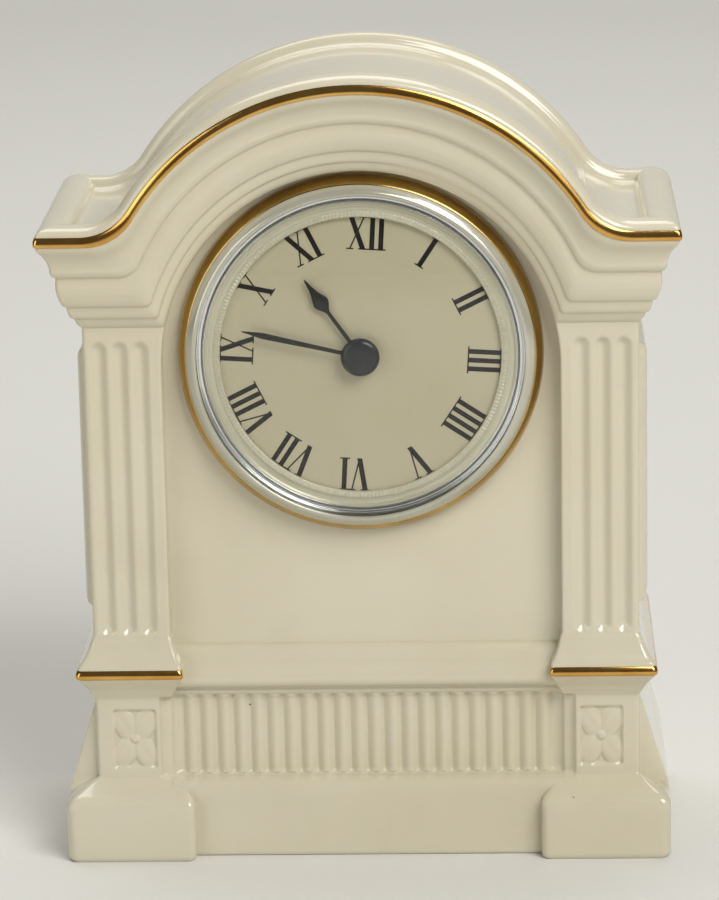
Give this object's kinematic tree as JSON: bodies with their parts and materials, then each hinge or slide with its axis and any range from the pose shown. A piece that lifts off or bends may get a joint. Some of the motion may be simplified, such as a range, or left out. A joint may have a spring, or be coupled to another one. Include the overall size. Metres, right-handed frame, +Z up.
{
  "type": "beehive shelf clock",
  "caption": "Arched-top glazed ceramic mantel clock with gold trim, a round push-fit quartz insert in its niche, Roman dial, hands and rear battery access.",
  "frame": {"origin": "centre of the base, on the shelf", "axes": "+Z up, the tallest extent; -Y out of the dial towards the viewer; +X to the viewer's right"},
  "size_m": [0.1396, 0.0622, 0.1781],
  "materials": {
    "porcelain": "glossy warm ivory glaze with pin-holes",
    "gilding": "fired bright gold",
    "bezel_gold": "polished and lacquered",
    "lens": "clear, polished",
    "ring": "bright, finely ribbed",
    "dial": "satin warm beige with black printed numerals",
    "housing": "fine spark-eroded texture",
    "gasket": "matt",
    "plate": "moulded",
    "steel": "turned",
    "wheel": "moulded, slightly oiled",
    "arbor": "turned",
    "hand_black": "satin black lacquer",
    "cap": "moulded, glossy black",
    "lamination": "rolled",
    "winding": "enamelled copper wire",
    "board": "solder resist",
    "crystal_can": "drawn can",
    "cell": "bright rolled",
    "contact": "sprung strip",
    "knob": "moulded, knurled edge"
  },
  "bodies": {
    "case": {"case": "porcelain", "cornice_gilding": "gilding", "base_gilding_left": "gilding", "base_gilding_right": "gilding"},
    "insert": {"bezel": "bezel_gold", "lens": "lens", "reflector_ring": "ring", "dial": "dial", "insert_housing": "housing", "gasket": "gasket", "movement_plate": "plate", "movement_bridge": "plate", "bridge_screws": "steel", "stator": "lamination", "coil_core": "lamination", "coil_winding": "winding", "circuit_board": "board", "quartz_crystal": "crystal_can", "negative_contact": "contact", "positive_contact": "contact"},
    "minute": {"minute_hand": "hand_black", "hand_cap": "cap", "cannon_pinion": "arbor"},
    "hour": {"hour_hand": "hand_black", "hour_wheel": "wheel"},
    "motion": {"minute_wheel": "wheel"},
    "knob": {"setting_knob": "knob"},
    "centre": {"centre_wheel": "wheel"},
    "third": {"third_wheel": "wheel"},
    "second": {"second_wheel": "wheel"},
    "intermediate": {"intermediate_wheel": "wheel"},
    "rotor": {"rotor_pinion": "wheel", "rotor_magnet": "steel"},
    "cover": {"battery_cover": "housing"},
    "cell": {"battery": "cell"}
  },
  "joints": [
    {"name": "insert_pull", "type": "slide", "parent": "case", "child": "insert", "axis": [0, -1, 0], "range_m": [0, 0.03]},
    {"name": "minute_turn", "type": "hinge", "parent": "insert", "child": "minute", "pos_m": [0, -0.0172, 0.1145], "axis": [0, 1, 0], "continuous": true},
    {"name": "hour_turn", "type": "hinge", "parent": "insert", "child": "hour", "pos_m": [0, -0.0172, 0.1145], "axis": [0, 1, 0], "continuous": true},
    {"name": "motion_turn", "type": "hinge", "parent": "insert", "child": "motion", "pos_m": [0.0036, -0.0172, 0.10826], "axis": [0, 1, 0], "continuous": true},
    {"name": "knob_turn", "type": "hinge", "parent": "insert", "child": "knob", "pos_m": [0.0072, -0.0172, 0.10203], "axis": [0, 1, 0], "continuous": true},
    {"name": "second_turn", "type": "hinge", "parent": "insert", "child": "second", "pos_m": [-0.00714, -0.0172, 0.13345], "axis": [0, 1, 0], "continuous": true},
    {"name": "centre_turn", "type": "hinge", "parent": "insert", "child": "centre", "pos_m": [0, -0.0172, 0.1145], "axis": [0, 1, 0], "continuous": true},
    {"name": "third_turn", "type": "hinge", "parent": "insert", "child": "third", "pos_m": [-0.00891, -0.0172, 0.12341], "axis": [0, 1, 0], "continuous": true},
    {"name": "intermediate_turn", "type": "hinge", "parent": "insert", "child": "intermediate", "pos_m": [-0.00005, -0.0172, 0.1322], "axis": [0, 1, 0], "continuous": true},
    {"name": "rotor_turn", "type": "hinge", "parent": "insert", "child": "rotor", "pos_m": [0.00569, -0.0172, 0.12819], "axis": [0, 1, 0], "continuous": true},
    {"name": "cover_pull", "type": "slide", "parent": "insert", "child": "cover", "axis": [0, 1, 0], "range_m": [0, 0.012]},
    {"name": "cell_lift", "type": "slide", "parent": "insert", "child": "cell", "axis": [0, 1, 0], "range_m": [0, 0.006]}
  ],
  "couplings": [
    {"joint": "hour_turn", "follows": "minute_turn", "ratio": 0.083333},
    {"joint": "motion_turn", "follows": "minute_turn", "ratio": -0.33333},
    {"joint": "knob_turn", "follows": "minute_turn", "ratio": 1},
    {"joint": "third_turn", "follows": "rotor_turn", "ratio": -0.0044444},
    {"joint": "centre_turn", "follows": "rotor_turn", "ratio": 0.00055556},
    {"joint": "intermediate_turn", "follows": "rotor_turn", "ratio": -0.16667},
    {"joint": "second_turn", "follows": "rotor_turn", "ratio": 0.033333},
    {"joint": "cell_lift", "follows": "cover_pull", "ratio": 0.5}
  ]
}
